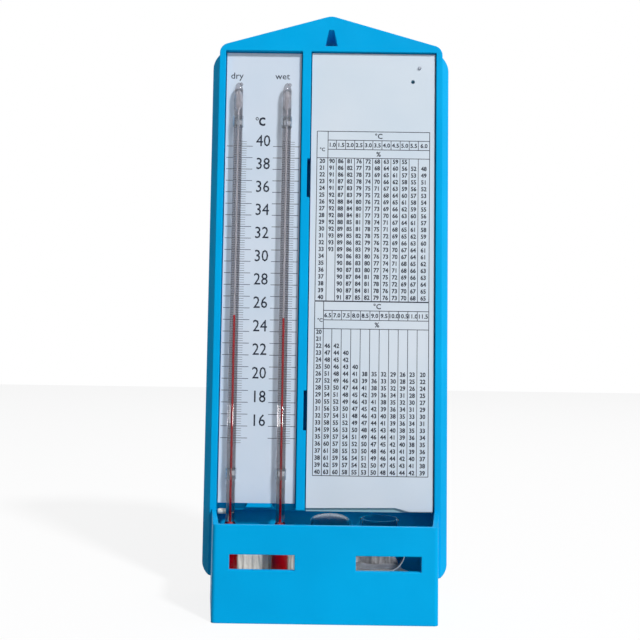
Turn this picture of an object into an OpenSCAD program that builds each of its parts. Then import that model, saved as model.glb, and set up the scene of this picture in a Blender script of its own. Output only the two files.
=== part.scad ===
// Wet and dry bulb hygrometer that hangs on a wall or stands on its box.
// X is to the right, the front faces -Y, Z is up, and the origin is under the middle of the bounding box.

/* [Base outline] */
// Height from the box's bottom to the peak of the gable
total_h = 290; // [270:1:310]
// Width across the side skirts
total_w = 120; // [117:1:130]
// Depth from the wall to the front of the box
total_d = 50; // [48:1:64]
// How far each side skirt stands out beside the frame
skirt_out = 3.65; // [3:0.05:5]
// Depth of the frame, from the wall to its front face
frame_d = 12.5; // [12:0.5:15]
// Slope of the gable's two sides, in degrees
roof_angle = 15.8; // [12:0.1:17]
// Radius of the gable's peak
peak_r = 8; // [3:0.5:14]
// Radius of the gable's lower corners
eave_r = 5; // [2.5:0.5:6]

/* [Frame] */
// Width of the side rails
rail_w = 3.05; // [2.5:0.05:4.5]
// Drop from the peak to the top of the recesses
head_h = 18.2; // [18:0.1:24]
// Depth of the recesses that hold the scale plate and the table
recess_d = 5; // [4.6:0.1:6]
// Thickness of the web behind the recesses
web_t = 2.5; // [2:0.1:3.5]
// Middle of the divider, left of the middle, as a share of the frame's width
divider_share = 0.1081; // [0.08:0.0001:0.13]
// Width of the divider
divider_w = 4.4; // [3.6:0.1:6]
// Width of a clip slot in the divider's flank
slot_w = 1.4; // [1:0.1:2]
// Length of a clip slot
slot_l = 19.6; // [12:0.1:24]
// Drop from the peak to the lower end of the upper clip slot
slot_drop = 92.9; // [85:0.1:100]
// Distance between the two clip slots
slot_pitch = 116; // [100:0.5:125]
// Width of the lug under the scale plate
lug_w = 13.7; // [8:0.1:18]
// Height of the lug under the scale plate
lug_h = 2.1; // [1.5:0.1:2.6]
// Thickness of the ribs behind the web
rib_t = 1.6; // [1.2:0.1:2.4]
// Number of upright ribs
rib_cols = 3; // [3:1:5]
// Number of level ribs
rib_rows = 8; // [8:1:12]

/* [Side skirts] */
// How far behind the front face the skirts reach their full width
skirt_set = 4; // [3:0.5:6]
// Thickness of the skirts
skirt_t = 2; // [1.5:0.1:3]
// Height of the skirts' lower ends
skirt_z = 10.5; // [4:0.1:16]
// Radius of the skirts' lower ends
skirt_r = 6; // [3:0.5:6.5]
// Radius of the skirts' upper ends
shoulder_r = 6; // [3:0.5:8]

/* [Hanging hole] */
// Drop from the peak to the top of the hole
hole_drop = 7.1; // [6:0.1:8]
// Height of the hole
hole_h = 8.3; // [7:0.1:9]
// Width of the hole at its top
hole_top_w = 2.4; // [1.6:0.1:3.4]
// Width of the hole at its bottom
hole_bottom_w = 6.3; // [5.8:0.1:8]
// Height of the hole at the wall, where its ceiling has sloped down
hole_back_h = 4.4; // [4.2:0.1:6]

/* [Box] */
// Height of the box's rim
box_h = 42.4; // [41:0.1:50]
// Step from the side of the frame in to the side of the box
box_step = 1.15; // [0.4:0.05:1.6]
// How far each side of the box draws in towards its front
box_taper = 5.3; // [3:0.1:7]
// Thickness of the box's walls
wall_t = 2.3; // [1.8:0.1:2.6]
// Thickness of the box's floor
floor_t = 2.4; // [1.8:0.1:4]
// Radius of the box's upright front corners
corner_r = 2; // [1:0.1:4]
// Distance from a window to the box's front corner
window_side = 7.6; // [6:0.1:12]
// Height of a window
window_h = 6.8; // [5:0.1:9]
// Height of the windows' lower edge
window_z = 22.85; // [18:0.05:26]
// Distance from the middle of the box to a window
window_x = 13.45; // [10:0.05:16]

/* [Scale plate and table] */
// Thickness of the glass scale plate
plate_t = 2.8; // [2:0.1:3]
// Height of the plate's lower edge above the box's rim
plate_foot = 2.9; // [2.9:0.1:5]
// Thickness of the printed table sheet
sheet_t = 0.8; // [0.5:0.1:1]
// Thickness of the glass cover plate behind the table sheet
cover_t = 2.8; // [2:0.1:3]
// Drop from the box's rim to the cover plate's lower edge
cover_drop = 0.7; // [0.2:0.1:0.9]
// Gap round a plate in its recess
fit_gap = 0.5; // [0.2:0.05:0.6]
// Gap between flat pieces that lie on each other
seat_gap = 0.1; // [0.05:0.05:0.2]
// Diameter of the nail's head
nail_head_d = 1.9; // [1.6:0.1:3]
// Diameter of the nail's shank
nail_d = 1; // [0.8:0.1:1.4]
// Diameter of the spare hole in the table
spare_d = 2; // [1.2:0.1:2.6]

/* [Thermometers] */
// Diameter of the glass rods
rod_d = 4.4; // [4:0.1:5.4]
// Distance between the two rods, as a share of the scale recess's width
rod_share = 0.627; // [0.5:0.001:0.66]
// Shift of the pair of rods from the middle of the scale plate
rod_shift = -0.25; // [-1:0.05:1]
// Drop from the recess top to the rods' tips
rod_drop = 17; // [8:0.5:24]
// Diameter of a bulb
bulb_d = 8.4; // [7.4:0.1:9]
// Height of the bulbs' lower ends
bulb_z = 12.6; // [12.4:0.1:15]
// Height of the straight part of a bulb
bulb_l = 20.5; // [16:0.5:21]
// Thickness of a bulb's glass
bulb_wall = 0.6; // [0.4:0.1:1]
// Diameter of the capillary bore
bore_d = 0.9; // [0.8:0.05:1.1]
// Running clearance round the spirit, on the radius
spirit_gap = 0.05; // [0.02:0.01:0.08]
// Height of the 15 degree mark above the plate's lower edge
mark_z = 31.6; // [30:0.1:40]
// Height of one degree on the scale
degree_h = 5.85; // [5.2:0.05:6]
// Reading of the dry thermometer
dry_reading = 25.35; // [18:0.05:38]
// Reading of the wet thermometer
wet_reading = 25.15; // [18:0.05:38]
// Length of the moving tip of the spirit
tip_l = 6; // [3:0.5:8]

/* [Retaining rings] */
// Thickness of a clear ring
ring_t = 0.35; // [0.3:0.05:0.8]
// Height of a ring
ring_h = 5.3; // [4:0.1:7]
// Height of the lower rings above the plate's lower edge
ring_low = 11.9; // [9:0.1:20]
// Drop from the rods' tips to the upper rings' lower edges
ring_drop = 22.6; // [20:0.1:28]
// Width of a ring's tongue
tongue_w = 1.2; // [0.8:0.1:1.8]
// Height of a ring's tongue
tongue_h = 2.4; // [1.6:0.1:3]

/* [Water feeder] */
// Thickness of the feeder's glass
feeder_wall = 1.1; // [0.8:0.1:1.6]
// Diameter of the lying tube that joins the two standing ones
link_d = 17.2; // [15:0.1:18]
// Diameter of the closed standing tube
reservoir_d = 18.8; // [16:0.1:20]
// Diameter of the open standing tube
cup_d = 17.7; // [16:0.1:19]
// Radius of the rolled lip
lip_r = 0.8; // [0.6:0.1:1.2]
// Height of the feeder's lowest point
feeder_z = 17; // [16.4:0.1:19]
// Height of the feeder's open tube
feeder_h = 24.6; // [22:0.1:27]
// How far the closed tube stands above the open one
reservoir_rise = 1.6; // [0:0.1:3]
// Middle of the closed tube
reservoir_x = 2.3; // [0:0.1:4]
// Middle of the open tube
cup_x = 25.6; // [24:0.1:28]
// How far the straight part of the lying tube runs on from there
link_end = 3.6; // [2:0.1:6]
// Distance of the feeder's middle from the box's outer front
feeder_set = 25; // [23:0.5:26]

/* [Wick cloth] */
// Thickness of one folded layer
fold_t = 3.05; // [2.6:0.05:3.05]
// Gap between the cloth and what it lies against
cloth_gap = 0.3; // [0.2:0.05:0.4]
// Thickness of the cloth's tail, which stands behind the dry bulb
tail_t = 1.5; // [1:0.1:2]

/* [Hidden] */
$fn = 48;
overcut = 1;

// Depths, from the wall forward
back_y = total_d / 2;
box_y = -total_d / 2;
front_y = back_y - frame_d;
floor_y = front_y + recess_d;
web_y = floor_y + web_t;
skirt_y = front_y + skirt_set;
inner_back_y = back_y - web_t;

// Heights
recess_top = total_h - head_h;
web_z = box_h - 1;
skirt_top = recess_top - 2.1;
plate_z = box_h + plate_foot;
plate_top = recess_top - fit_gap;
hole_top = total_h - hole_drop;
hole_bottom = hole_top - hole_h;
hole_back = hole_bottom + hole_back_h;

// Half widths of the front, the box and the recesses
half_w = total_w / 2 - skirt_out;
rail_x = half_w - rail_w;
box_back_x = half_w - box_step;
box_front_x = box_back_x - box_taper;
window_w = box_front_x - window_side - window_x;
divider_x = -2 * half_w * divider_share;
divider_left = divider_x - divider_w / 2;
divider_right = divider_x + divider_w / 2;
scale_x = (divider_left - rail_x) / 2;
rod_pitch = (rail_x + divider_left) * rod_share;

// The scale plate and the table in their recesses
plate_y = floor_y - seat_gap - plate_t;
cover_y = floor_y - seat_gap - cover_t;
sheet_y = cover_y - seat_gap - sheet_t;
cover_z = box_h - cover_drop;
sheet_z = cover_z + 1.7;
sheet_step_x = rail_x - 19;
nail_x = rail_x - 8.4;
nail_z = recess_top - 7.6;
nail_head_t = 0.5;
spare_x = nail_x - 3.3;
spare_z = nail_z - 7.1;
slot_zs = [total_h - slot_drop, total_h - slot_drop - slot_pitch];

// The thermometers
rod_r = rod_d / 2;
ring_r = rod_r + seat_gap / 2 + ring_t;
rod_y = plate_y - seat_gap - ring_r;
dry_x = scale_x + rod_shift - rod_pitch / 2;
wet_x = scale_x + rod_shift + rod_pitch / 2;
rod_top = recess_top - rod_drop;
bulb_r = bulb_d / 2;
bulb_round = 2.2;
shoulder_h = 4.2;
shoulder_z = bulb_z + bulb_l;
stem_z = shoulder_z + shoulder_h;
bore_r = bore_d / 2;
spirit_r = bore_r - spirit_gap;
thread_z = stem_z + 2;
thread_gap = 0.05;
chamber_r = rod_r - 0.7;
chamber_top = rod_top - 4;
chamber_low = rod_top - 14;
dome_h = 5;
nib_r = 1;
nib_shift = 1.2;
ring_low_z = plate_z + ring_low;
ring_high_z = rod_top - ring_drop;
mark15_z = plate_z + mark_z;
dry_tip_z = mark15_z + (dry_reading - 15) * degree_h;
wet_tip_z = mark15_z + (wet_reading - 15) * degree_h;

// The feeder
feeder_y = box_y + feeder_set;
link_r = link_d / 2;
link_z = feeder_z + link_r;
reservoir_r = reservoir_d / 2;
cup_r = cup_d / 2;
feeder_top = feeder_z + feeder_h;
reservoir_top = feeder_top + reservoir_rise;
reservoir_dome = reservoir_r * 0.3;
brace_r = 1;
brace_z = feeder_top - 2;

// The folded cloth
cloth_z = floor_t + cloth_gap;
cloth_left = -(box_front_x - wall_t - cloth_gap);
fold_left = -(rail_x - 0.5);
cloth_front = box_y + wall_t + 10.5;
cloth_right = box_front_x - 6;

// Points of an arc round a centre, from one angle to another
function arc(x, z, r, from, to, steps = 8) =
    [for (k = [0 : steps]) let (a = from + (to - from) * k / steps) [x + r * cos(a), z + r * sin(a)]];

// The gable's peak if its two slopes ran on to meet
function peak(inset) = total_h + peak_r * (1 / cos(roof_angle) - 1) - inset / cos(roof_angle);

// Right half of the gabled outline, drawn in by an inset, from its foot up to the peak
function gable_half(inset, foot) =
    let (
        w = half_w - inset,
        re = max(eave_r - inset, 0.5),
        rp = max(peak_r - inset, 0.5),
        eave_x = w - re,
        eave_z = peak(inset) - eave_x * tan(roof_angle) - re / cos(roof_angle),
        peak_z = peak(inset) - rp / cos(roof_angle)
    )
    concat(
        [[w, foot]],
        arc(eave_x, eave_z, re, 0, 90 - roof_angle),
        arc(0, peak_z, rp, 90 - roof_angle, 90, 4)
    );

// The same points on the left, in reverse order
function mirrored(points) = [for (k = [len(points) - 1 : -1 : 0]) [-points[k][0], points[k][1]]];

// Gabled outline in XZ
module gable_outline(inset, foot) {
    half = gable_half(inset, foot);
    polygon(concat(half, mirrored(half)));
}

// Stands an XZ outline up between two depths
module between(y0, y1) {
    translate([0, y1, 0]) rotate([90, 0, 0]) linear_extrude(y1 - y0) children();
}

// Block from one corner to the other
module block(low, high) {
    translate(low) cube(high - low);
}

// Plan of the box: the sides draw in towards a front with round corners
module box_plan(front_x, back_x, y0, y1, r) {
    polygon([[-back_x, y1], [-back_x, front_y], [-front_x, y0 + r], [-front_x + r, y0],
             [front_x - r, y0], [front_x, y0 + r], [back_x, front_y], [back_x, y1]]);
    for (side = [-1, 1]) translate([side * (front_x - r), y0 + r]) circle(r);
}

// Open-topped box with two windows, deeper behind the web's lower edge
module box_shell() {
    inner_front = box_front_x - wall_t;
    inner_r = max(corner_r - 0.7, 0.4);
    difference() {
        linear_extrude(box_h) box_plan(box_front_x, box_back_x, box_y, back_y, corner_r);
        translate([0, 0, floor_t]) linear_extrude(box_h)
            box_plan(inner_front, rail_x, box_y + wall_t, floor_y, inner_r);
        block([-rail_x, floor_y - overcut, floor_t], [rail_x, inner_back_y, web_z]);
        for (side = [-1, 1]) translate([side * (window_x + window_w / 2), box_y + wall_t / 2, window_z])
            translate([0, 0, window_h / 2]) cube([window_w, wall_t + 2 * overcut, window_h], center = true);
    }
}

// Flared skirt on the right side, with its ends rounded in the front view
module skirt() {
    slope = skirt_t * 0.4;
    intersection() {
        translate([0, 0, skirt_z]) linear_extrude(skirt_top - skirt_z)
            polygon([[half_w, front_y], [total_w / 2, skirt_y], [total_w / 2, back_y], [total_w / 2 - skirt_t, back_y],
                     [total_w / 2 - skirt_t, skirt_y + slope], [half_w - skirt_t, front_y + slope],
                     [half_w - skirt_t, front_y]]);
        between(front_y - overcut, back_y + overcut)
            polygon(concat(
                [[half_w - rail_w - overcut, skirt_z]],
                arc(total_w / 2 - skirt_r, skirt_z + skirt_r, skirt_r, -90, 0),
                arc(total_w / 2 - shoulder_r, skirt_top - shoulder_r, shoulder_r, 0, 90),
                [[half_w - rail_w - overcut, skirt_top]]
            ));
    }
}

// Frame above the box: face, gable walls, web and the two recesses
module frame_shell() {
    difference() {
        between(front_y, back_y) gable_outline(0, web_z);
        between(web_y, back_y + overcut) intersection() {
            gable_outline(skirt_t, box_h + web_t);
            translate([-half_w, box_h + web_t]) square([2 * half_w, total_h]);
        }
        block([-rail_x, front_y - overcut, web_z - overcut], [divider_left, floor_y, recess_top]);
        block([divider_right, front_y - overcut, web_z - overcut], [rail_x, floor_y, recess_top]);
        block([-rail_x, front_y - overcut, web_z - overcut], [rail_x, floor_y, web_z + 0.9]);
    }
}

// Ribs behind the web, between the side walls
module rib_grid() {
    low = box_h + web_t;
    high = recess_top;
    side_x = half_w - skirt_t / 2;
    for (k = [1 : rib_cols])
        translate([-side_x + 2 * side_x * k / (rib_cols + 1) - rib_t / 2, web_y - 0.5, low - 0.5])
            cube([rib_t, back_y - web_y + 0.5, high - low + 0.5]);
    for (k = [1 : rib_rows])
        translate([-side_x, web_y - 0.5, low + (high - low) * k / rib_rows - rib_t / 2])
            cube([2 * side_x, back_y - web_y + 0.5, rib_t]);
}

// Wedge-shaped hanging hole, with a boss round it as deep as the frame
module hole_outline(grow) {
    polygon([[-hole_bottom_w / 2 - grow, hole_bottom - grow], [hole_bottom_w / 2 + grow, hole_bottom - grow],
             [hole_top_w / 2 + grow, hole_top + grow], [-hole_top_w / 2 - grow, hole_top + grow]]);
}

// Hanging hole, whose ceiling slopes down towards the wall from just behind the front
module hanging_hole() {
    slope = (hole_top - hole_back) / (frame_d - 0.4);
    intersection() {
        between(front_y - overcut, back_y + overcut) hole_outline(0);
        translate([-hole_bottom_w, 0, 0]) rotate([90, 0, 90]) linear_extrude(2 * hole_bottom_w)
            polygon([[front_y - 3, hole_bottom - 2], [back_y + 3, hole_bottom - 2],
                     [back_y + 3, hole_back - 3 * slope], [front_y - 3, hole_top + 3.4 * slope]]);
    }
}

// Lug that carries the scale plate's lower edge
module plate_lug() {
    top = plate_z - seat_gap;
    between(plate_y, floor_y + 0.5)
        polygon([[scale_x + 1.6 - lug_w / 2, top - lug_h], [scale_x + 1.6 + lug_w / 2, top - lug_h],
                 [scale_x + 1.6 + lug_w / 2 - 0.9, top], [scale_x + 1.6 - lug_w / 2 + 0.9, top]]);
}

// Slots behind the four rings, through the web or the plate
module tongue_slots(y0, y1) {
    for (x = [dry_x, wet_x], z = [ring_low_z, ring_high_z])
        block([x - tongue_w / 2 - seat_gap, y0, z + (ring_h - tongue_h) / 2 - seat_gap],
              [x + tongue_w / 2 + seat_gap, y1, z + (ring_h + tongue_h) / 2 + seat_gap]);
}

// Blue moulded base
module base_housing() {
    color([0.02, 0.6, 0.9]) difference() {
        union() {
            box_shell();
            frame_shell();
            skirt();
            mirror([1, 0, 0]) skirt();
            rib_grid();
            between(front_y, back_y) intersection() {
                hole_outline(2);
                gable_outline(0.5, box_h);
            }
            plate_lug();
        }
        hanging_hole();
        for (z = slot_zs) block([divider_right - slot_w, front_y - overcut, z],
                                [divider_right, web_y + overcut, z + slot_l]);
        tongue_slots(floor_y - overcut, web_y + overcut);
        translate([nail_x, web_y - 0.6, nail_z]) rotate([90, 0, 0])
            cylinder(h = web_t + overcut, r = nail_d / 2 + spirit_gap, $fn = 24);
    }
}

// Glass scale plate
module scale_plate() {
    color([0.78, 0.84, 0.9]) difference() {
        block([-rail_x + fit_gap, plate_y, plate_z], [divider_left - fit_gap, plate_y + plate_t, plate_top]);
        tongue_slots(plate_y - overcut, plate_y + plate_t + overcut);
    }
}

// Hole through the table sheet and the glass behind it
module table_hole(x, z, r, y0, y1) {
    translate([x, y1 + overcut, z]) rotate([90, 0, 0]) cylinder(h = y1 - y0 + 2 * overcut, r = r, $fn = 32);
}

// Printed sheet: its lower edge is cut askew at the right
module table_sheet() {
    left = divider_right + fit_gap;
    right = rail_x - fit_gap;
    color([0.86, 0.9, 0.95]) difference() {
        between(sheet_y, sheet_y + sheet_t)
            polygon([[left, plate_top], [left, sheet_z], [sheet_step_x, sheet_z + 0.6],
                     [sheet_step_x + 6.6, cover_z + 0.5], [right, cover_z + 0.5], [right, plate_top]]);
        table_hole(nail_x, nail_z, nail_d / 2 + seat_gap, sheet_y, sheet_y + sheet_t);
        table_hole(spare_x, spare_z, spare_d / 2, sheet_y, sheet_y + sheet_t);
    }
}

// Glass plate that covers the web behind the sheet
module table_cover() {
    color([0.6, 0.75, 0.8]) difference() {
        block([divider_right + fit_gap, cover_y, cover_z], [rail_x - fit_gap, cover_y + cover_t, plate_top]);
        table_hole(nail_x, nail_z, nail_d / 2 + seat_gap, cover_y, cover_y + cover_t);
        table_hole(spare_x, spare_z, spare_d / 2, cover_y, cover_y + cover_t);
    }
}

// Nail through the sheet and the glass behind it into the web
module panel_nail() {
    shank = web_y - 0.8 - sheet_y;
    color("dimgray") translate([nail_x, sheet_y - seat_gap, nail_z]) rotate([-90, 0, 0]) union() {
        cylinder(h = shank + seat_gap, r = nail_d / 2, $fn = 24);
        translate([0, 0, -nail_head_t]) cylinder(h = nail_head_t, r1 = nail_head_d / 3, r2 = nail_head_d / 2, $fn = 24);
    }
}

// Half profile of a thermometer's outer glass: bulb, shoulder, stem and dome
function glass_outline() = concat(
    [[0, bulb_z]],
    arc(bulb_r - bulb_round, bulb_z + bulb_round, bulb_round, -90, 0, 6),
    [for (k = [0 : 8]) let (t = k / 8) [rod_r + (bulb_r - rod_r) * (1 + cos(180 * t)) / 2, shoulder_z + shoulder_h * t]],
    [for (k = [0 : 8]) let (a = 90 * k / 8) [rod_r * cos(a), rod_top - dome_h + dome_h * sin(a)]]
);

// Half profile of the hollow inside: bulb, throat, capillary and the chamber at the top
function hollow_outline(gap, end_z) =
    let (
        r = bulb_r - bulb_wall - gap,
        round = bulb_round - bulb_wall,
        low = bulb_z + bulb_wall + gap
    )
    concat(
        [[0, low]],
        arc(r - round, low + round, round, -90, 0, 6),
        [[r, shoulder_z - 1]],
        [for (k = [1 : 8]) let (t = k / 8)
            [bore_r - gap + (r - bore_r + gap) * (1 + cos(180 * t)) / 2, shoulder_z - 1 + (shoulder_h + 1) * t]],
        [[bore_r - gap, end_z], [0, end_z]]
    );

// Glass of one thermometer, with its sealed-off nib
module thermometer_glass(x) {
    color([0.85, 0.9, 0.92, 0.4]) translate([x, rod_y, 0]) difference() {
        union() {
            rotate_extrude() polygon(glass_outline());
            translate([nib_shift, 0, rod_top - nib_r]) sphere(nib_r, $fn = 24);
        }
        rotate_extrude() polygon(hollow_outline(0, chamber_low));
        translate([0, 0, chamber_low - 0.01]) cylinder(h = 2, r1 = bore_r, r2 = chamber_r);
        translate([0, 0, chamber_low + 1.98]) cylinder(h = chamber_top - chamber_low - 4, r = chamber_r);
        translate([0, 0, chamber_top - 2.03]) cylinder(h = 2, r1 = chamber_r, r2 = 0.3);
    }
}

// Spirit that fills a bulb and the foot of its capillary
module bulb_spirit(x) {
    color([0.6, 0.02, 0.06]) translate([x, rod_y, 0])
        rotate_extrude() polygon(hollow_outline(spirit_gap, thread_z));
}

// Thread of spirit from the bulb's throat to the moving tip
module spirit_thread(x, tip_z) {
    low = thread_z + thread_gap;
    color([0.6, 0.05, 0.1]) translate([x, rod_y, low])
        cylinder(h = tip_z - tip_l - thread_gap - low, r = spirit_r, $fn = 24);
}

// Moving tip of the thread: its rounded top is what the scale reads
module spirit_tip(x, tip_z) {
    color([0.7, 0.05, 0.1]) translate([x, rod_y, tip_z - tip_l]) rotate_extrude($fn = 24)
        polygon(concat([[0, 0], [spirit_r, 0]], arc(0, tip_l - spirit_r / 2, spirit_r, 0, 30, 2),
                       [[0, tip_l]]));
}

// Clear ring round a rod, with a tongue through the plate and the web
module retaining_ring(x, z) {
    color([0.9, 0.95, 1, 0.5]) translate([x, rod_y, z]) difference() {
        union() {
            cylinder(h = ring_h, r = ring_r);
            translate([-tongue_w / 2, 0, (ring_h - tongue_h) / 2]) cube([tongue_w, web_y - rod_y, tongue_h]);
        }
        translate([0, 0, -overcut]) cylinder(h = ring_h + 2 * overcut, r = rod_r + seat_gap / 2);
    }
}

// Outer or inner form of the feeder: two standing tubes on a lying one, drawn in by the glass
module feeder_form(inset) {
    translate([reservoir_x, 0, link_z]) cylinder(h = reservoir_top - link_z - reservoir_dome, r = reservoir_r - inset);
    translate([reservoir_x, 0, reservoir_top - reservoir_dome]) rotate_extrude()
        polygon(concat([[0, 0]], [for (k = [0 : 8]) let (a = 90 * k / 8)
            [(reservoir_r - inset) * cos(a), (reservoir_dome - inset) * sin(a)]]));
    translate([cup_x, 0, link_z]) cylinder(h = feeder_top - link_z - lip_r, r = cup_r - inset);
    translate([reservoir_x, 0, link_z]) rotate([0, 90, 0]) cylinder(h = cup_x + link_end - reservoir_x, r = link_r - inset);
    translate([reservoir_x, 0, link_z]) sphere(link_r - inset);
    translate([cup_x + link_end, 0, link_z]) sphere(link_r - inset);
}

// Glass brace between the standing tubes, bent down in the middle
module feeder_brace() {
    start = reservoir_x + reservoir_r - 0.6;
    end = cup_x - cup_r + 0.6;
    middle = (start + end) / 2;
    run = (end - start) / 2;
    lean = 38;
    for (side = [-1, 1]) translate([middle, 0, brace_z - run / tan(lean)]) rotate([0, side * lean, 0])
        cylinder(h = run / sin(lean), r = brace_r, $fn = 24);
    translate([middle, 0, brace_z - run / tan(lean)]) sphere(brace_r, $fn = 24);
}

// Glass water feeder: a closed tube and an open one with a rolled lip
module feeder() {
    color([0.75, 0.88, 0.9, 0.5]) translate([0, feeder_y, 0]) difference() {
        union() {
            feeder_form(0);
            translate([cup_x, 0, feeder_top - lip_r]) rotate_extrude()
                translate([cup_r - lip_r * 0.6, 0]) circle(lip_r, $fn = 24);
            feeder_brace();
        }
        feeder_form(feeder_wall);
        translate([cup_x, 0, link_z]) cylinder(h = feeder_h, r = cup_r - feeder_wall);
    }
}

// One folded layer of cloth, a slab with round ends, from one end to the other
module layer(x0, x1, y0, y1, z) {
    r = fold_t / 2;
    between(y0, y1) {
        translate([x0 + r, z]) square([x1 - x0 - fold_t, fold_t]);
        for (x = [x0 + r, x1 - r]) translate([x, z + r]) circle(r, $fn = 24);
    }
}

// Tail of the cloth: it rises behind the dry bulb, turns left under the web and ends in a lobe beside the rod
module cloth_tail(foot, back) {
    stem_left = dry_x - rod_r;
    lobe_right = dry_x - rod_r - 0.5;
    lobe_top = plate_z - 2.4;
    shelf_top = web_z - cloth_gap;
    between(back - tail_t * 2, back) {
        translate([stem_left, foot]) square([rod_d * 0.7, shelf_top - foot]);
        translate([fold_left, shelf_top - tail_t]) square([stem_left + rod_r - fold_left, tail_t]);
    }
    between(front_y + 0.7, floor_y - cloth_gap) {
        translate([fold_left, shelf_top - tail_t + 0.5]) square([lobe_right - tail_t / 2 - fold_left, lobe_top - shelf_top + tail_t - 0.5]);
        translate([lobe_right - 1.2, lobe_top - 1.2]) circle(1.2, $fn = 24);
    }
    between(floor_y - 1, back - tail_t)
        translate([fold_left, shelf_top - tail_t]) square([lobe_right - 1 - fold_left, tail_t]);
}

// Cambric cloth, folded on the box's floor, with a higher fold behind the bulbs
module wick_cloth() {
    behind = rod_y + bulb_r + cloth_gap;
    back = inner_back_y - cloth_gap;
    bulbs_end = wet_x + bulb_r + 3;
    under = feeder_z - cloth_gap - cloth_z;
    lap = fold_t - 0.15;
    steps = ceil((under - fold_t) / lap);
    rise = (under - fold_t) / steps;
    color([0.9, 0.9, 0.88]) union() {
        for (k = [0 : 2]) layer(cloth_left + k, cloth_right - k, cloth_front + k / 2, back, cloth_z + k * lap);
        for (k = [0 : steps])
            layer(bulbs_end + k, cloth_right - 1 - k, cloth_front + 1, behind - 1, cloth_z + k * rise);
        for (k = [2 : 5]) layer(fold_left + 1, bulbs_end + 34 - 9 * k, behind, back, cloth_z + k * lap);
        cloth_tail(cloth_z + 5 * lap, back);
    }
}

base_housing();
scale_plate();
table_sheet();
table_cover();
panel_nail();
thermometer_glass(dry_x);  // dry_thermometer_glass
thermometer_glass(wet_x);  // wet_thermometer_glass
bulb_spirit(dry_x);  // dry_bulb_spirit
bulb_spirit(wet_x);  // wet_bulb_spirit
spirit_thread(dry_x, dry_tip_z);  // dry_spirit_thread
spirit_thread(wet_x, wet_tip_z);  // wet_spirit_thread
spirit_tip(dry_x, dry_tip_z);  // dry_spirit_tip
spirit_tip(wet_x, wet_tip_z);  // wet_spirit_tip
retaining_ring(dry_x, ring_high_z);  // dry_upper_ring
retaining_ring(dry_x, ring_low_z);  // dry_lower_ring
retaining_ring(wet_x, ring_high_z);  // wet_upper_ring
retaining_ring(wet_x, ring_low_z);  // wet_lower_ring
feeder();
wick_cloth();
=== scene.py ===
"""Looks of the wet and dry bulb hygrometer, in metres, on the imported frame."""
import math

import bmesh
import bpy
from mathutils import Matrix, Vector, noise

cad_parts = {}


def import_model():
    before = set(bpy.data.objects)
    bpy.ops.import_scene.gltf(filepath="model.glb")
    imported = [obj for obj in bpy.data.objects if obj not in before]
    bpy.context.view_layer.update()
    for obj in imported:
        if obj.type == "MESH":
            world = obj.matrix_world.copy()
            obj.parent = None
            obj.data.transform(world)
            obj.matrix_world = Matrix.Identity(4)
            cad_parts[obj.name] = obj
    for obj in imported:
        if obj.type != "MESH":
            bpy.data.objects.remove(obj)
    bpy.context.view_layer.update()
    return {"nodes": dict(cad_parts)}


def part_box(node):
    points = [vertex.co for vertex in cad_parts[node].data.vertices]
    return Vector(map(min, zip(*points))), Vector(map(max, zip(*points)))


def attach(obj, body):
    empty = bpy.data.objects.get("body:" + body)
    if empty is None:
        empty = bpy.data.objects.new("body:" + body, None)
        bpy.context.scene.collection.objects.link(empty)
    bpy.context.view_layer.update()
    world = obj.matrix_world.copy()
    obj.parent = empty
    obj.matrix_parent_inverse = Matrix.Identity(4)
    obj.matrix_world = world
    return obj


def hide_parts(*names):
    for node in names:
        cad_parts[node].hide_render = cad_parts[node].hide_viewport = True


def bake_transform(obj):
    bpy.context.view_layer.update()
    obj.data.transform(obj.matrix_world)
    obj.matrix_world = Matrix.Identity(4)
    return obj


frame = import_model()
nodes = frame["nodes"]
MM = 0.001


def box_mm(node):
    """Lowest and highest corners of a CAD node at rest, in millimetres."""
    low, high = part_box(node)
    return [v / MM for v in low], [v / MM for v in high]


def axis_mm(node):
    """Place of a round standing node's axis."""
    low, high = box_mm(node)
    return (low[0] + high[0]) / 2, (low[1] + high[1]) / 2


PLATE_FRONT = box_mm("scale_plate")[0][1]
SHEET_FRONT = box_mm("table_sheet")[0][1]
DRY_X, ROD_Y = axis_mm("dry_spirit_thread")
WET_X = axis_mm("wet_spirit_thread")[0]

# Sizes in millimetres that part.scad also has
MARK_15 = 76.9
DEGREE = 5.85


def linear(colour):
    """A colour written as 0 to 255 in sRGB, as the shader takes it."""
    out = []
    for value in colour:
        c = value / 255
        out.append(c / 12.92 if c <= 0.04045 else ((c + 0.055) / 1.055) ** 2.4)
    return (*out, 1.0)


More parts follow.
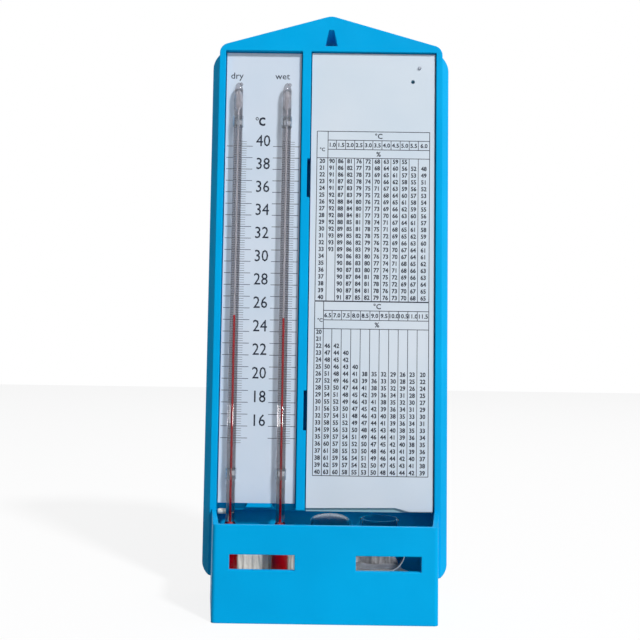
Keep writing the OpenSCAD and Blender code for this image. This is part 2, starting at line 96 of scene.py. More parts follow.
class Shader:
    """A Principled material and short ways to add texture to it."""

    def __init__(self, name, colour, **sockets):
        self.material = bpy.data.materials.new(name)
        self.material.use_nodes = True
        self.tree = self.material.node_tree
        self.surface = self.tree.nodes["Principled BSDF"]
        self.surface.inputs["Base Color"].default_value = linear(colour)
        for key, value in sockets.items():
            self.surface.inputs[key.replace("_", " ")].default_value = value
        self.coords = self.tree.nodes.new("ShaderNodeTexCoord")
        self.normal = None

    def node(self, kind, **settings):
        made = self.tree.nodes.new(kind)
        for key, value in settings.items():
            setattr(made, key, value)
        return made

    def link(self, source, target):
        self.tree.links.new(source, target)

    def noise(self, size, detail=3.0, stretch=(1, 1, 1)):
        """Noise with spots of about this size in millimetres."""
        place = self.node("ShaderNodeMapping")
        place.inputs["Scale"].default_value = stretch
        self.link(self.coords.outputs["Object"], place.inputs["Vector"])
        made = self.node("ShaderNodeTexNoise")
        made.inputs["Scale"].default_value = 1 / (size * MM)
        made.inputs["Detail"].default_value = detail
        made.inputs["Roughness"].default_value = 0.55
        self.link(place.outputs["Vector"], made.inputs["Vector"])
        return made.outputs["Fac"]

    def spread(self, value, low, high):
        """A noise value, which mostly lies between 0.3 and 0.7, drawn out over low to high."""
        made = self.node("ShaderNodeMapRange")
        for key, number in (("From Min", 0.3), ("From Max", 0.7), ("To Min", low), ("To Max", high)):
            made.inputs[key].default_value = number
        self.link(value, made.inputs["Value"])
        return made.outputs["Result"]

    def tint(self, value, first, second):
        """The colour runs from the first to the second with the value."""
        self.mix_colour(value, linear(first), linear(second))

    def mix_colour(self, value, first, second):
        """The same for colours that are written as the shader takes them."""
        mix = self.node("ShaderNodeMix", data_type="RGBA")
        mix.inputs[6].default_value = first
        mix.inputs[7].default_value = second
        self.link(value, mix.inputs[0])
        self.link(mix.outputs[2], self.surface.inputs["Base Color"])

    def lets_light_by(self, share):
        """Lamps shine through the clear surface by this share, which thins its shadow."""
        path = self.node("ShaderNodeLightPath")
        made = self.node("ShaderNodeMapRange")
        made.inputs["To Min"].default_value = 1.0
        made.inputs["To Max"].default_value = 1 - share
        self.link(path.outputs["Is Shadow Ray"], made.inputs["Value"])
        self.link(made.outputs["Result"], self.surface.inputs["Alpha"])

    def rough(self, value, low, high):
        """The roughness runs from low to high with the value."""
        self.link(self.spread(value, low, high), self.surface.inputs["Roughness"])

    def bevel(self, radius):
        """Edges catch the light as if rounded by this radius in millimetres."""
        made = self.node("ShaderNodeBevel")
        made.samples = 6
        made.inputs["Radius"].default_value = radius * MM
        self.normal = made.outputs["Normal"]
        self.link(self.normal, self.surface.inputs["Normal"])

    def bump(self, value, height):
        """Relief of this height in millimetres."""
        made = self.node("ShaderNodeBump")
        made.inputs["Strength"].default_value = 1.0
        made.inputs["Distance"].default_value = height * MM
        self.link(value, made.inputs["Height"])
        if self.normal:
            self.link(self.normal, made.inputs["Normal"])
        self.normal = made.outputs["Normal"]
        self.link(self.normal, self.surface.inputs["Normal"])


def blue_moulding():
    made = Shader("blue_moulding", (0, 166, 228), Roughness=0.34, Specular_IOR_Level=0.05)
    broad = made.noise(45, 2)
    made.tint(made.spread(broad, 0, 1), (0, 162, 223), (0, 171, 232))
    made.rough(made.noise(9, 4), 0.32, 0.46)
    made.bevel(0.65)
    made.bump(made.noise(0.5, 2), 0.01)
    made.bump(made.noise(22, 2), 0.2)
    return made.material


def scale_glass():
    made = Shader("scale_glass", (204, 216, 231), Roughness=0.16, Specular_IOR_Level=0.4)
    made.tint(made.spread(made.noise(38, 2), 0, 1), (198, 213, 229), (208, 219, 233))
    made.rough(made.noise(12, 3), 0.12, 0.24)
    made.bump(made.noise(30, 2), 0.05)
    return made.material


def table_print():
    made = Shader("table_print", (208, 220, 229), Roughness=0.5, Specular_IOR_Level=0.3)
    made.tint(made.spread(made.noise(50, 2), 0, 1), (202, 215, 227), (212, 221, 231))
    made.rough(made.noise(10, 3), 0.42, 0.6)
    made.bump(made.noise(1.2, 3), 0.01)
    return made.material


def cover_glass():
    # Painted shade: the cover's colour is set darker and bluer than its pale glass, as the strip below the
    # sheet looks in shade.
    made = Shader("cover_glass", (150, 190, 205), Roughness=0.12, Specular_IOR_Level=0.45)
    made.tint(made.spread(made.noise(20, 2), 0, 1), (140, 185, 203), (156, 198, 212))
    made.rough(made.noise(14, 3), 0.08, 0.2)
    made.bump(made.noise(40, 2), 0.04)
    return made.material


def rod_glass():
    # The grey tint is partly the glass's own and partly painted shade: it is darkened so that the rods look
    # as dark as they do in their shade.
    made = Shader("rod_glass", (196, 192, 194), Roughness=0.0, IOR=1.42, Transmission_Weight=1.0)
    made.rough(made.noise(6, 3), 0.0, 0.012)
    made.bump(made.noise(9, 1, (1, 1, 0.2)), 0.003)
    made.lets_light_by(0.25)
    return made.material


def bore_glass():
    # The bore is milky white. This is partly painted highlight: its pale colour draws the bright line of
    # light along the dark rod.
    made = Shader("bore_glass", (222, 222, 228), Roughness=0.1, IOR=1.42, Transmission_Weight=0.55)
    made.rough(made.noise(4, 2), 0.05, 0.15)
    made.lets_light_by(0.9)
    return made.material


def ring_plastic():
    made = Shader("ring_plastic", (226, 232, 238), Roughness=0.05, IOR=1.49, Transmission_Weight=1.0)
    made.rough(made.noise(2, 3), 0.02, 0.12)
    made.bump(made.noise(1.6, 2), 0.05)
    made.lets_light_by(0.7)
    return made.material


def feeder_glass():
    made = Shader("feeder_glass", (206, 208, 214), Roughness=0.0, IOR=1.08, Transmission_Weight=1.0,
                  Specular_IOR_Level=0.2)
    made.rough(made.noise(8, 3), 0.0, 0.02)
    made.bump(made.noise(9, 1, (1, 1, 0.15)), 0.05)
    made.lets_light_by(0.8)
    return made.material


def red_spirit(name, colour, deep):
    """Dyed spirit, whose colour runs from one tone to a deeper one."""
    made = Shader(name, colour, Roughness=0.25, Specular_IOR_Level=0.15)
    made.tint(made.spread(made.noise(4, 2, (1, 1, 0.3)), 0, 1), colour, deep)
    made.rough(made.noise(3, 2), 0.12, 0.25)
    return made.material


def nail_steel():
    made = Shader("nail_steel", (150, 155, 165), Roughness=0.35, Metallic=1.0)
    made.rough(made.noise(0.4, 3), 0.25, 0.5)
    made.bump(made.noise(0.5, 2), 0.02)
    return made.material


def cambric():
    """Plain weave: warp and weft as two crossed waves."""
    made = Shader("cambric", (216, 215, 209), Roughness=0.85, Specular_IOR_Level=0.15)
    made.tint(made.spread(made.noise(7, 3), 0, 1), (200, 200, 196), (222, 220, 212))
    waves = []
    for way in ("X", "Y"):
        wave = made.node("ShaderNodeTexWave", wave_type="BANDS", bands_direction=way)
        wave.inputs["Scale"].default_value = 900
        wave.inputs["Distortion"].default_value = 0.6
        wave.inputs["Detail Scale"].default_value = 2
        made.link(made.coords.outputs["Object"], wave.inputs["Vector"])
        waves.append(wave.outputs["Fac"])
    weave = made.node("ShaderNodeMath", operation="MAXIMUM")
    made.link(waves[0], weave.inputs[0])
    made.link(waves[1], weave.inputs[1])
    made.bump(weave.outputs[0], 0.05)
    made.bump(made.noise(2.5, 3), 0.3)
    made.surface.inputs["Subsurface Weight"].default_value = 0.15
    made.surface.inputs["Subsurface Radius"].default_value = (0.002, 0.002, 0.002)
    return made.material


def ink(name, colour):
    """Printing ink, a little lighter in places."""
    made = Shader(name, colour, Roughness=0.55, Specular_IOR_Level=0.25)
    lighter = tuple(min(255, c + 14) for c in colour)
    made.tint(made.spread(made.noise(3, 3), 0, 1), colour, lighter)
    return made.material


MATERIALS = {
    "blue_moulding": blue_moulding(),
    "scale_glass": scale_glass(),
    "table_print": table_print(),
    "cover_glass": cover_glass(),
    "rod_glass": rod_glass(),
    "bore_glass": bore_glass(),
    "ring_plastic": ring_plastic(),
    "feeder_glass": feeder_glass(),
    "spirit": red_spirit("red_spirit", (182, 6, 24), (160, 0, 16)),
    "bulb": red_spirit("bulb_spirit", (200, 0, 18), (178, 0, 12)),
    "nail_steel": nail_steel(),
    "cambric": cambric(),
    "slate_ink": ink("slate_ink", (22, 30, 46)),
    "tick_ink": ink("tick_ink", (70, 80, 98)),
    "table_ink": ink("table_ink", (24, 30, 46)),
}

FINISH = {
    "base_housing": "blue_moulding",
    "scale_plate": "scale_glass",
    "table_sheet": "table_print",
    "table_cover": "cover_glass",
    "panel_nail": "nail_steel",
    "dry_thermometer_glass": "rod_glass",
    "wet_thermometer_glass": "rod_glass",
    "dry_bulb_spirit": "bulb",
    "wet_bulb_spirit": "bulb",
    "dry_spirit_thread": "spirit",
    "wet_spirit_thread": "spirit",
    "dry_spirit_tip": "spirit",
    "wet_spirit_tip": "spirit",
    "dry_upper_ring": "ring_plastic",
    "dry_lower_ring": "ring_plastic",
    "wet_upper_ring": "ring_plastic",
    "wet_lower_ring": "ring_plastic",
    "feeder": "feeder_glass",
    "wick_cloth": "cambric",
}
for name, finish in FINISH.items():
    for place in nodes[name].material_slots:
        place.material = MATERIALS[finish]


def add_object(name, data):
    """A new object that shows this data in the scene."""
    made = bpy.data.objects.new(name, data)
    bpy.context.scene.collection.objects.link(made)
    return made


def add_mesh(name, points, faces, finish, smooth=False):
    """A piece from points in millimetres, with its material."""
    mesh = bpy.data.meshes.new(name)
    mesh.from_pydata([Vector(p) * MM for p in points], [], faces)
    mesh.validate()
    mesh.materials.append(MATERIALS[finish])
    mesh.shade_smooth() if smooth else mesh.shade_flat()
    made = add_object(name, mesh)
    return made


# Sizes of the glass rods in millimetres
ROD_R = 2.2
BULB_ROUND_R = 2.2
SHOULDER_ABOVE_FOOT = 20.5
SHOULDER_H = 4.2
DOME_H = 5.0
CHAMBER_R = 1.5
CHAMBER_BELOW_TOP = 14
NIB_R = 0.95
NIB_SIDE = 1.25
NIB_FORWARD = 0.3
ROD_STEPS = 64

# The thread is wider than the bore by this radius, so that it hides the bore as far up as it reaches
THREAD_OVER_BORE = 0.02
THREAD_STEPS = 32


def thread_radius(prefix):
    low, high = box_mm(prefix + "_spirit_thread")
    return (high[0] - low[0]) / 2


def circle(x, r, z, steps):
    """Points of a level circle about a rod's axis."""
    angles = [2 * math.pi * s / steps for s in range(steps)]
    return [(x + r * math.cos(a), ROD_Y + r * math.sin(a), z) for a in angles]


def skin_outline(foot, top, bulb_r):
    """Half profile of the outer skin: rounded bulb, shoulder, stem and dome."""
    shoulder = foot + SHOULDER_ABOVE_FOOT
    stem = shoulder + SHOULDER_H
    outline = [(0.0, foot)]
    for k in range(13):
        a = math.radians(-90 + 90 * k / 12)
        outline.append((bulb_r - BULB_ROUND_R + BULB_ROUND_R * math.cos(a),
                        foot + BULB_ROUND_R * (1 + math.sin(a))))
    for k in range(17):
        t = k / 16
        swell = (1 + math.cos(math.pi * t)) / 2
        outline.append((ROD_R + (bulb_r - ROD_R) * swell, shoulder + SHOULDER_H * t))
    for k in range(1, 40):
        outline.append((ROD_R, stem + (top - DOME_H - stem) * k / 40))
    for k in range(13):
        a = math.radians(90 * k / 12)
        outline.append((ROD_R * math.cos(a), top - DOME_H + DOME_H * math.sin(a)))
    return outline


def bore_outline(top, bore_r):
    """Half profile of the bore from the lowest reading up, and of the chamber above it."""
    rise = top - CHAMBER_BELOW_TOP - MARK_15
    outline = [(0.0, MARK_15 + 0.05), (bore_r, MARK_15 + 0.06)]
    outline += [(bore_r, MARK_15 + rise * k / 18) for k in range(1, 19)]
    # Radii of the chamber and how far below the top they lie
    chamber = [(CHAMBER_R * 0.8, 12.9), (CHAMBER_R, 12), (CHAMBER_R, 7.5),
               (CHAMBER_R * 0.85, 6), (0.35, 4.1), (0.0, 4)]
    return outline + [(r, top - below) for r, below in chamber]


def turn_about(mesh, x, outline, slot_index, inwards):
    """Turns a half profile about a rod's axis. A hollow's wall faces inwards."""
    rings = []
    for r, z in outline:
        count = 1 if r < 1e-6 else ROD_STEPS
        rings.append([mesh.verts.new(Vector(p) * MM) for p in circle(x, r, z, count)])
    for a, b in zip(rings, rings[1:]):
        for s in range(ROD_STEPS):
            corners = [a[s % len(a)], a[(s + 1) % len(a)], b[(s + 1) % len(b)], b[s % len(b)]]
            corners = list(dict.fromkeys(corners))
            if len(corners) < 3:
                continue
            face = mesh.faces.new(corners[::-1] if inwards else corners)
            face.material_index = slot_index
            face.smooth = True


def thermometer(prefix, x):
    """Glass of one thermometer: the outer skin, the bore with its chamber, and the nib on the dome."""
    low, high = box_mm(prefix + "_thermometer_glass")
    foot, top = low[2], high[2]
    mesh = bmesh.new()
    turn_about(mesh, x, skin_outline(foot, top, (high[0] - low[0]) / 2), 0, False)
    turn_about(mesh, x, bore_outline(top, thread_radius(prefix) - THREAD_OVER_BORE), 1, True)
    nib = bmesh.ops.create_uvsphere(mesh, u_segments=24, v_segments=16, radius=NIB_R * MM)
    place = Vector((x + NIB_SIDE, ROD_Y - NIB_FORWARD, top - NIB_R)) * MM
    for vert in nib["verts"]:
        vert.co += place
        for face in vert.link_faces:
            face.smooth = True
    data = bpy.data.meshes.new(prefix + "_rod")
    mesh.to_mesh(data)
    mesh.free()
    data.materials.append(MATERIALS["rod_glass"])
    data.materials.append(MATERIALS["bore_glass"])
    made = add_object(prefix + "_rod", data)
    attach(made, "case")
    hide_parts(prefix + "_thermometer_glass")


def spirit_thread(prefix, x):
    """Red thread from its foot in the rod up to the top of the imported thread."""
    low, high = (corner[2] for corner in box_mm(prefix + "_spirit_thread"))
    radius = thread_radius(prefix)
    foot = low + 0.15
    outline = [(radius * 0.7, low), (radius * 0.93, low + 0.04), (radius, foot), (radius, high)]
    points = [p for r, z in outline for p in circle(x, r, z, THREAD_STEPS)]
    last = len(points) - THREAD_STEPS
    faces = [tuple(reversed(range(THREAD_STEPS))), tuple(range(last, len(points)))]
    for first in range(0, last, THREAD_STEPS):
        for k in range(THREAD_STEPS):
            a, b = first + k, first + (k + 1) % THREAD_STEPS
            faces.append((a, b, b + THREAD_STEPS, a + THREAD_STEPS))
    made = add_mesh(prefix + "_thread_column", points, faces, "spirit", smooth=True)
    made.data.set_sharp_from_angle(angle=math.radians(50))
    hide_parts(prefix + "_spirit_thread")
    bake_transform(made)


for prefix, x in (("dry", DRY_X), ("wet", WET_X)):
    thermometer(prefix, x)
    spirit_thread(prefix, x)


class Print:
    """Flat ink on one depth, gathered into one piece."""

    def __init__(self, depth):
        self.y = depth - 0.02
        self.points = []
        self.faces = []

    def bar(self, x0, x1, z0, z1):
        first = len(self.points)
        self.points += [(x0, self.y, z0), (x1, self.y, z0), (x1, self.y, z1), (x0, self.y, z1)]
        self.faces.append((first, first + 1, first + 2, first + 3))

    def line(self, x0, x1, z, width):
        self.bar(x0, x1, z - width / 2, z + width / 2)

    def post(self, x, z0, z1, width):
        self.bar(x - width / 2, x + width / 2, z0, z1)

    def text(self, words, x, z, size, narrow=1.0, pitch=1.0, thin=0.0, bold=0.0):
        """Words about x, whose first baseline is at z. The size is that of the whole type body.
        Bold widens the strokes by drawing the words four times, a little apart."""
        curve = bpy.data.curves.new("type", "FONT")
        curve.body = words
        curve.size = size
        curve.align_x = "CENTER"
        curve.space_line = pitch
        curve.offset = thin
        curve.resolution_u = 2
        holder = add_object("type", curve)
        bpy.context.view_layer.update()
        mesh = bpy.data.meshes.new_from_object(holder)
        shifts = [(-bold, -bold), (bold, -bold), (bold, bold), (-bold, bold)] if bold else [(0, 0)]
        for k, (dx, dz) in enumerate(shifts):
            first = len(self.points)
            depth = self.y - 0.002 * k
            self.points += [(x + v.co.x * narrow + dx, depth, z + v.co.y + dz) for v in mesh.vertices]
            self.faces += [tuple(first + i for i in p.vertices) for p in mesh.polygons]
        bpy.data.objects.remove(holder)
        bpy.data.curves.remove(curve)
        bpy.data.meshes.remove(mesh)

    def piece(self, name, finish):
        made = add_mesh(name, self.points, self.faces, finish)
        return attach(made, "case")


# Places and sizes of the scale's print in millimetres
LONG_TICKS = ((-52.2, -39.0), (-28.8, -15.4))
LONG_TICK_W = 0.32
FINE_TICKS = ((DRY_X - 1.0, -42.1), (WET_X - 1.0, WET_X + 4.1))
FINE_TICK_W = 0.2
NUMBERS_X = -33.7
NUMBERS_SIZE = 8.3
UNIT_Z = 233.9
NAMES = (("dry", -47.6), ("wet", -24.5))
NAMES_Z = 257.9
NAMES_SIZE = 4.6


def degree_z(reading):
    """Height of a reading on the scale."""
    return MARK_15 + (reading - 15) * DEGREE


def scale_print():
    """Degree ticks and numbers on the glass plate."""
    ticks = Print(PLATE_FRONT)
    fine = Print(PLATE_FRONT - 0.01)
    for reading in range(15, 41):
        for start, end in LONG_TICKS:
            ticks.line(start, end, degree_z(reading), LONG_TICK_W)
    for step in range(-2, 128):
        for start, end in FINE_TICKS:
            fine.line(start, end, degree_z(15 + step / 5), FINE_TICK_W)
    numbers = Print(PLATE_FRONT)
    for reading in range(16, 41, 2):
        numbers.text(str(reading), NUMBERS_X, degree_z(reading) + 0.1, NUMBERS_SIZE, narrow=0.89,
                     thin=-0.02, bold=0.045)
    numbers.text("C", NUMBERS_X - 0.8, UNIT_Z, 5.8, narrow=0.82, bold=0.2)
    numbers.text("°", NUMBERS_X - 3.3, UNIT_Z - 0.4, 6.4, narrow=0.9, bold=0.03)
    names = Print(PLATE_FRONT)
    for name, x in NAMES:
        names.text(name, x, NAMES_Z, NAMES_SIZE, narrow=1.05, thin=0.02)
    ticks.piece("degree_ticks", "tick_ink")
    fine.piece("fine_ticks", "tick_ink")
    numbers.piece("degree_numbers", "slate_ink")
    names.piece("thermometer_names", "slate_ink")


def humidity(dry, drop):
    """Relative humidity from the two readings, by the psychrometer formula."""
    def vapour(t):
        return 6.112 * math.exp(17.62 * t / (243.12 + t))
    wet = dry - drop
    return 100 * (vapour(wet) - 0.85 * drop) / vapour(dry)


# Sizes of the humidity table in millimetres. Its columns are drops of half a degree, its rows degrees.
TABLE_LEFT, TABLE_RIGHT = -6.5, 50.2
HEADING_LINES = (0, 4.5, 9.2, 13.6)
FIRST_COLUMN_W, LAST_COLUMN_W = 4.25, 5.7
COLUMNS = 11
ROWS = 21
ROW_H = 3.44
FRAME_LINE_W = 0.34
COLUMN_LINE_W = 0.3
TYPE_SIZE = 3.0
# Top line, first drop and the line between the readings and the drops, for both halves
UPPER_HALF = (231.1, 1.0, -1.0)
LOWER_HALF = (145.0, 6.5, -2.1)
HEADING_X = 24.5
READING_UNIT_X = -3.8


def table_column(sheet, words, middle, rows_top):
    """One column of numbers, a row each."""
    sheet.text("\n".join(words), middle, rows_top - 2.6, TYPE_SIZE, narrow=0.93,
               pitch=ROW_H / TYPE_SIZE, bold=0.08)


def table_half(sheet, top, first_drop, divider, blank):
    """One half of the table, from its top line down. blank says which cells stay empty."""
    lines = [top - below for below in HEADING_LINES]
    rows_top = lines[-1]
    bottom = rows_top - ROWS * ROW_H
    column = (TABLE_RIGHT - divider - FIRST_COLUMN_W - LAST_COLUMN_W) / (COLUMNS - 2)
    inner_edges = [divider + FIRST_COLUMN_W + k * column for k in range(COLUMNS - 1)]
    edges = [divider] + inner_edges + [TABLE_RIGHT]
    for k, z in enumerate(lines):
        sheet.line(TABLE_LEFT if k in (0, 3) else divider, TABLE_RIGHT, z, FRAME_LINE_W)
    sheet.line(TABLE_LEFT, TABLE_RIGHT, bottom, FRAME_LINE_W)
    for x in (TABLE_LEFT, divider, TABLE_RIGHT):
        sheet.post(x, bottom, top, FRAME_LINE_W)
    for x in inner_edges:
        sheet.post(x, lines[2], lines[1], COLUMN_LINE_W)
        sheet.post(x, bottom, rows_top, COLUMN_LINE_W)
    readings = range(20, 20 + ROWS)
    table_column(sheet, [str(dry) for dry in readings], (TABLE_LEFT + divider) / 2, rows_top)
    for c in range(COLUMNS):
        middle = (edges[c] + edges[c + 1]) / 2
        drop = first_drop + c / 2
        sheet.text(f"{drop:.1f}", middle, lines[1] - 3.4, 2.9, narrow=1.02, bold=0.07)
        cells = [" " if blank(dry, c) else str(round(humidity(dry, drop))) for dry in readings]
        table_column(sheet, cells, middle, rows_top)
    return lines


def table_sheet_print():
    """The humidity table, with plain numbers worked out by formula."""
    sheet = Print(SHEET_FRONT)

    def upper_blank(dry, c):
        return (dry == 20 and c > 8) or (dry > 33 and c == 0)

    def lower_blank(dry, c):
        filled = {20: 0, 21: 0, 22: 2, 23: 3, 24: 3, 25: 4}
        return c >= filled.get(dry, COLUMNS)

    for half, blank in ((UPPER_HALF, upper_blank), (LOWER_HALF, lower_blank)):
        lines = table_half(sheet, *half, blank)
        sheet.text("°C", HEADING_X, lines[0] - 3.5, 3.6, bold=0.06)
        sheet.text("%", HEADING_X, lines[2] - 3.4, 3.4, bold=0.06)
        sheet.text("°C", READING_UNIT_X, lines[2] - 1.0, 2.5, bold=0.05)
    sheet.piece("humidity_table", "table_ink")


scale_print()
table_sheet_print()


class Cloth:
    """A long strip of cloth, laid down station by station. A station is a line across the strip."""

    ACROSS = 28
    STEP = 1.3
    TURN_STEPS = 6

    def __init__(self):
        self.stations = []

    def flat(self, x, z, front, back):
        """A level line across the strip from front to back."""
        width = back - front
        self.stations.append([(x, front + width * k / self.ACROSS, z) for k in range(self.ACROSS + 1)])

    def line(self, points):
        """A line across the strip through given points, evenly spaced along its length."""
        lengths = [0.0]
        for a, b in zip(points, points[1:]):
            lengths.append(lengths[-1] + math.dist(a, b))
        out = []
        for k in range(self.ACROSS + 1):
            want = lengths[-1] * k / self.ACROSS
            i = max(j for j in range(len(points) - 1) if lengths[j] <= want + 1e-9)
            span = max(lengths[i + 1] - lengths[i], 1e-9)
            t = min(1.0, (want - lengths[i]) / span)
            out.append(tuple(p + (q - p) * t for p, q in zip(points[i], points[i + 1])))
        self.stations.append(out)

    def passes(self, rows):
        """Level passes that turn back at their ends. A row is (x0, x1, z, front, back)."""
        for k, (x0, x1, z, front, back) in enumerate(rows):
            a, b = (x0, x1) if k % 2 == 0 else (x1, x0)
            count = max(2, round(abs(b - a) / self.STEP))
            for i in range(count + 1):
                self.flat(a + (b - a) * i / count, z, front, back)
            if k + 1 < len(rows):
                self.turn_up(b, 1 if b > a else -1, rows[k], rows[k + 1])

    def turn_up(self, x, way, row, after):
        """Half round at the end of one row, up to the start of the next."""
        r = (after[2] - row[2]) / 2
        end = after[1] if way > 0 else after[0]
        for i in range(1, self.TURN_STEPS):
            t = i / self.TURN_STEPS
            angle = math.pi * t
            front, back = (row[c] + (after[c] - row[c]) * t for c in (3, 4))
            self.flat(x + (end - x) * t + way * r * math.sin(angle), row[2] + r * (1 - math.cos(angle)),
                      front, back)


# How far one layer of the cloth lies above the other, in millimetres
LAYER_RISE = 1.45
SHORT_LAYER_RISE = 1.35


def wick_cloth():
    """The pile: layers on the box's floor, shorter ones above them, and high ones at the back."""
    cloth = Cloth()
    floor_rows = [(-46.2 + k / 2, 43.2 - k / 2, 3.3 + LAYER_RISE * k, -11.6 + k / 4, 21.7) for k in range(6)]
    short_rows = [(-13.4 + k, 41.4 - 2.5 * k, 12.1 + SHORT_LAYER_RISE * k, -10.9 + k / 2, 15.6)
                  for k in range(4)]
    high_rows = [(0.5 - 5 * k, -51.0 + k / 4, 12.3 + LAYER_RISE * k, 17.9, 21.8) for k in range(5)]
    cloth.passes(floor_rows + short_rows)
    start, _, low_z, front, back = short_rows[-1]
    goal, _, high_z, high_front, high_back = high_rows[0]
    for k in range(1, 9):
        t = k / 9
        arch = 1.2 * math.sin(math.pi * t)
        cloth.flat(start + (goal - start) * t, low_z + (high_z - low_z) * t + arch,
                   front + (high_front - front) * t, back + (high_back - back) * t)
    cloth.passes(high_rows)
    return cloth.stations


def flap_cloth():
    """Top fold: it lies on the pile, and hangs over its front behind the bulbs and the feeder."""
    cloth = Cloth()
    left, length, count = -51.2, 89, 260
    back, ridge, foot = 21.6, 18.2, 12.2
    sink_from, sink_over, sink = 29, 9, 6.0
    for k in range(count + 1):
        x = left + length * k / count
        share = min(1.0, max(0.0, (x - sink_from) / sink_over))
        top = 21.2 - sink * share ** 2.5
        front = 16.7 - 0.2 * math.sin(x * 0.4)
        cloth.line([(x, back, top - 0.4), (x, ridge, top), (x, front + 0.5, top - 0.4), (x, front, top - 1.4),
                    (x, front - 0.1, (top + foot) / 2), (x, front + 0.1, foot)])
    return cloth.stations


def side_fold():
    """Ridge of the pile behind the lying tube, which falls away to the right."""
    cloth = Cloth()
    left, length, count = 20, 27.5, 60
    for k in range(count + 1):
        x = left + length * k / count
        rise = min(1.0, (x - left) / 13)
        fall = min(1.0, max(0.0, (x - 34) / 13.5))
        top = 14.6 + 2.0 * rise - 5.2 * fall
        cloth.line([(x, 9.9, top - 2.6), (x, 11.2, top - 0.5), (x, 12.2, top), (x, 13.6, top - 0.3),
                    (x, 15.2, top - 2.4)])
    return cloth.stations


def smooth_way(points, steps=6):
    """Points along a curve that runs through the given ones."""
    fine = []
    for k in range(len(points) - 1):
        before, after = points[max(k - 1, 0)], points[min(k + 2, len(points) - 1)]
        for i in range(steps):
            t = i / steps
            fine.append([0.5 * (2 * q + (r - p) * t + (2 * p - 5 * q + 4 * r - s) * t * t
                                + (3 * q - p - 3 * r + s) * t ** 3)
                         for p, q, r, s in zip(before, points[k], points[k + 1], after)])
    return fine + [list(points[-1])]


def tail_cloth():
    """End of the strip: it rises behind the dry bulb, passes left and folds over beside the rod."""
    cloth = Cloth()
    # Left edge, right edge, depth and height of the strip's middle along its way
    way = [(-48.3, -45.2, 21.3, 17.0), (-48.3, -45.2, 21.5, 24.0), (-48.4, -45.4, 21.4, 31.0),
           (-48.8, -45.8, 21.2, 37.5), (-49.9, -46.6, 20.4, 39.4), (-51.2, -48.0, 18.9, 39.8),
           (-52.2, -48.6, 17.0, 39.8), (-52.45, -48.5, 16.5, 40.8), (-52.5, -48.5, 16.2, 41.7),
           (-52.5, -48.5, 15.2, 42.3), (-52.5, -48.5, 14.2, 42.1), (-52.5, -48.5, 13.6, 41.5),
           (-52.5, -48.6, 13.5, 40.7), (-52.4, -48.8, 13.9, 40.0)]
    for left, right, y, z in smooth_way(way):
        cloth.line([(left, y, z), (left + 0.3, y - 0.25, z + 0.1), ((left + right) / 2, y - 0.4, z + 0.15),
                    (right - 0.3, y - 0.25, z + 0.1), (right, y, z)])
    return cloth.stations


def wrinkle(p, amount):
    """Soft folds that run across the strip."""
    a = noise.noise(Vector((p[0] * 0.16, p[1] * 0.05, p[2] * 0.35)))
    b = noise.noise(Vector((p[0] * 0.45 + 7, p[1] * 0.12, p[2] * 0.6)))
    return amount * (a + 0.5 * b)


def crease(p, amount):
    """Upright creases of a hanging fold."""
    a = noise.noise(Vector((p[0] * 0.8, p[1] * 0.1, p[2] * 0.07)))
    b = noise.noise(Vector((p[0] * 2.9 + 4, p[1] * 0.1, p[2] * 0.14)))
    c = noise.noise(Vector((p[0] * 0.2, 3, p[2] * 0.2)))
    return amount * (a + 0.6 * b + 0.5 * c)


def cloth_grid(points, faces, grid, move):
    """Adds a strip's stations to the mesh, each point moved by its folds."""
    first = len(points)
    wide = len(grid[0])
    points += [move(p) for row in grid for p in row]
    for i in range(len(grid) - 1):
        for j in range(wide - 1):
            a = first + i * wide + j
            faces.append((a, a + 1, a + wide + 1, a + wide))


def build_cloth():
    """The cloth: its pile, the hanging top fold, the ridge at the side, and the tail."""
    def pile(p):
        lift = wrinkle(p, 0.55)
        return (p[0], p[1] + 0.3 * lift, p[2] + lift)

    def hanging(p):
        out = crease(p, 0.85)
        return (p[0], p[1] + min(out, 0.35) if p[1] < 17.5 else p[1], p[2] + wrinkle(p, 0.4))

    def tail(p):
        return (p[0], p[1] + crease(p, 0.15), p[2] + wrinkle(p, 0.12))

    points = []
    faces = []
    grids = [wick_cloth(), flap_cloth(), side_fold(), tail_cloth()]
    for grid, move in zip(grids, (pile, hanging, pile, tail)):
        cloth_grid(points, faces, grid, move)
    cloth = add_mesh("wick_cloth_folds", points, faces, "cambric", smooth=True)
    solid = cloth.modifiers.new("thickness", "SOLIDIFY")
    solid.thickness = 0.3 * MM
    solid.offset = 0
    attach(cloth, "case")
    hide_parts("wick_cloth")


build_cloth()


# The pockets behind the divider's slots, in millimetres
SLOT_FEET = (197.1, 81.1)
SLOT_H = 20.4
POCKET_W = 3.0
POCKET_D = 1.2
POCKET_ROUND = 0.6


def slot_backs():
    """The moulding closes each slot beside the divider with a shallow dark pocket."""
    x0 = box_mm("table_sheet")[0][0] - 2.7
    x1 = x0 + POCKET_W
    web = box_mm("scale_plate")[1][1] + 2.1
    front, back = web + 0.02, web + POCKET_D
    for k, foot in enumerate(SLOT_FEET):
        z0, z1 = foot - 0.8, foot + SLOT_H
        points = []
        for y, inset in ((front, POCKET_ROUND), (front + 0.25, 0.0), (back, 0.0)):
            points += [(x0 + inset, y, z0 + inset), (x1 - inset, y, z0 + inset),
                       (x1 - inset, y, z1 - inset), (x0 + inset, y, z1 - inset)]
        faces = [(0, 1, 2, 3), (11, 10, 9, 8)]
        for ring in (0, 4):
            for i in range(4):
                j = (i + 1) % 4
                faces.append((ring + j, ring + i, ring + 4 + i, ring + 4 + j))
        made = add_mesh(f"slot_back_{k + 1}", points, faces, "blue_moulding")
        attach(made, "case")


slot_backs()


# The photograph's camera, fitted to its edges: focal length and width in pixels, place in millimetres,
# and turns in radians
FOCAL_PX = 779.25
PHOTO_PX = 640
SENSOR_MM = 36
CAMERA_PLACE = (-3.23, -372.68, 111.44)
PITCH, YAW, ROLL = 0.0626, 0.0015, -0.0141


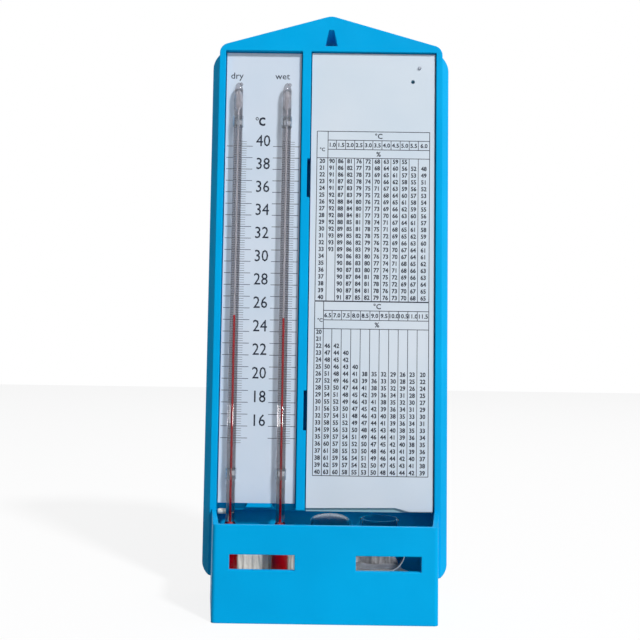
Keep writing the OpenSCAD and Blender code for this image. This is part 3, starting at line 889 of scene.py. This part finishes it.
def camera():
    """The photograph's viewpoint."""
    data = bpy.data.cameras.new("camera")
    data.sensor_width = SENSOR_MM
    data.lens = FOCAL_PX / PHOTO_PX * SENSOR_MM
    data.clip_start = 0.01
    made = add_object("camera", data)
    pitch = Matrix.Rotation(PITCH, 3, "X")
    yaw = Matrix.Rotation(YAW, 3, "Z")
    roll = Matrix.Rotation(ROLL, 3, "Y")
    right, forward, up = (yaw @ pitch @ roll).col
    whole = Matrix((right, up, -forward)).transposed().to_4x4()
    whole.translation = Vector(CAMERA_PLACE) * MM
    made.matrix_world = whole
    bpy.context.scene.camera = made


def lamp(name, shape, size, power, place, target):
    """An area lamp at a place in metres, aimed at a target. It comes back for a second size."""
    data = bpy.data.lights.new(name, "AREA")
    data.shape = shape
    data.size = size
    data.energy = power
    made = add_object(name, data)
    made.location = place
    made.rotation_euler = (place - target).to_track_quat("Z", "Y").to_euler()
    return data


def key_light():
    """Soft lamp from above, in front at the right."""
    azimuth, elevation, distance = math.radians(38), math.radians(42), 4.0
    away = Vector((math.sin(azimuth) * math.cos(elevation), -math.cos(azimuth) * math.cos(elevation),
                   math.sin(elevation)))
    middle = Vector((0, 0, 0.16))
    lamp("key", "DISK", 0.45, 150, middle + away * distance, middle)


def strip_light():
    """Low strip in front at the right: the bright streaks on the glass are its reflection."""
    data = lamp("strip", "RECTANGLE", 0.3, 1.0, Vector((0.36, -0.82, 0.032)), Vector((-0.03, 0.01, 0.088)))
    data.size_y = 0.035


# How strongly the world lights the object from the left and from the right
LEFT_LEVEL, RIGHT_LEVEL = 0.12, 0.5


def world():
    """Plain pale world: white to the camera, glass and metal, dimmer as a light."""
    made = bpy.data.worlds.new("studio")
    bpy.context.scene.world = made
    made.use_nodes = True
    tree = made.node_tree
    back = tree.nodes["Background"]
    back.inputs["Color"].default_value = (1, 1, 1, 1)
    path = tree.nodes.new("ShaderNodeLightPath")
    way = tree.nodes.new("ShaderNodeTexCoord")
    split = tree.nodes.new("ShaderNodeSeparateXYZ")
    side = tree.nodes.new("ShaderNodeMapRange")
    side.inputs["From Min"].default_value = -1.0
    side.inputs["From Max"].default_value = 1.0
    side.inputs["To Min"].default_value = LEFT_LEVEL
    side.inputs["To Max"].default_value = RIGHT_LEVEL
    tree.links.new(way.outputs["Generated"], split.inputs[0])
    tree.links.new(split.outputs["X"], side.inputs["Value"])
    level = tree.nodes.new("ShaderNodeMapRange")
    level.inputs["To Min"].default_value = 1.0
    tree.links.new(side.outputs["Result"], level.inputs["To Max"])
    tree.links.new(path.outputs["Diffuse Depth"], level.inputs["Value"])
    tree.links.new(level.outputs["Result"], back.inputs["Strength"])


# Half the floor's side in metres
FLOOR_HALF = 4.0
# Share of plain white in what the camera sees of the floor
FLOOR_GLOW = 0.86
# Paleness of the floor for the light that it throws up
FLOOR_DIM = 0.28


def floor():
    """Pale floor that keeps the object's shadow, is nearly white to the camera and throws little light up."""
    mesh = bpy.data.meshes.new("floor")
    corners = [(x * FLOOR_HALF, y * FLOOR_HALF, 0) for x, y in ((-1, -1), (1, -1), (1, 1), (-1, 1))]
    mesh.from_pydata(corners, [], [(0, 1, 2, 3)])
    made = add_object("floor", mesh)
    paint = Shader("floor_paint", (255, 255, 255), Roughness=0.9, Specular_IOR_Level=0.1)
    path = paint.node("ShaderNodeLightPath")
    paint.mix_colour(path.outputs["Is Diffuse Ray"], linear((252, 252, 253)),
                     (FLOOR_DIM, FLOOR_DIM, FLOOR_DIM, 1))
    glow = paint.node("ShaderNodeEmission")
    glow.inputs["Color"].default_value = (1, 1, 1, 1)
    glow.inputs["Strength"].default_value = 1.0
    direct = paint.node("ShaderNodeMath", operation="SUBTRACT", use_clamp=True)
    direct.inputs[0].default_value = FLOOR_GLOW
    paint.link(path.outputs["Is Diffuse Ray"], direct.inputs[1])
    mix = paint.node("ShaderNodeMixShader")
    paint.link(direct.outputs[0], mix.inputs[0])
    paint.link(paint.surface.outputs[0], mix.inputs[1])
    paint.link(glow.outputs[0], mix.inputs[2])
    paint.link(mix.outputs[0], paint.tree.nodes["Material Output"].inputs["Surface"])
    mesh.materials.append(paint.material)


camera()
key_light()
strip_light()
world()
floor()
bpy.context.scene.view_settings.view_transform = "Standard"
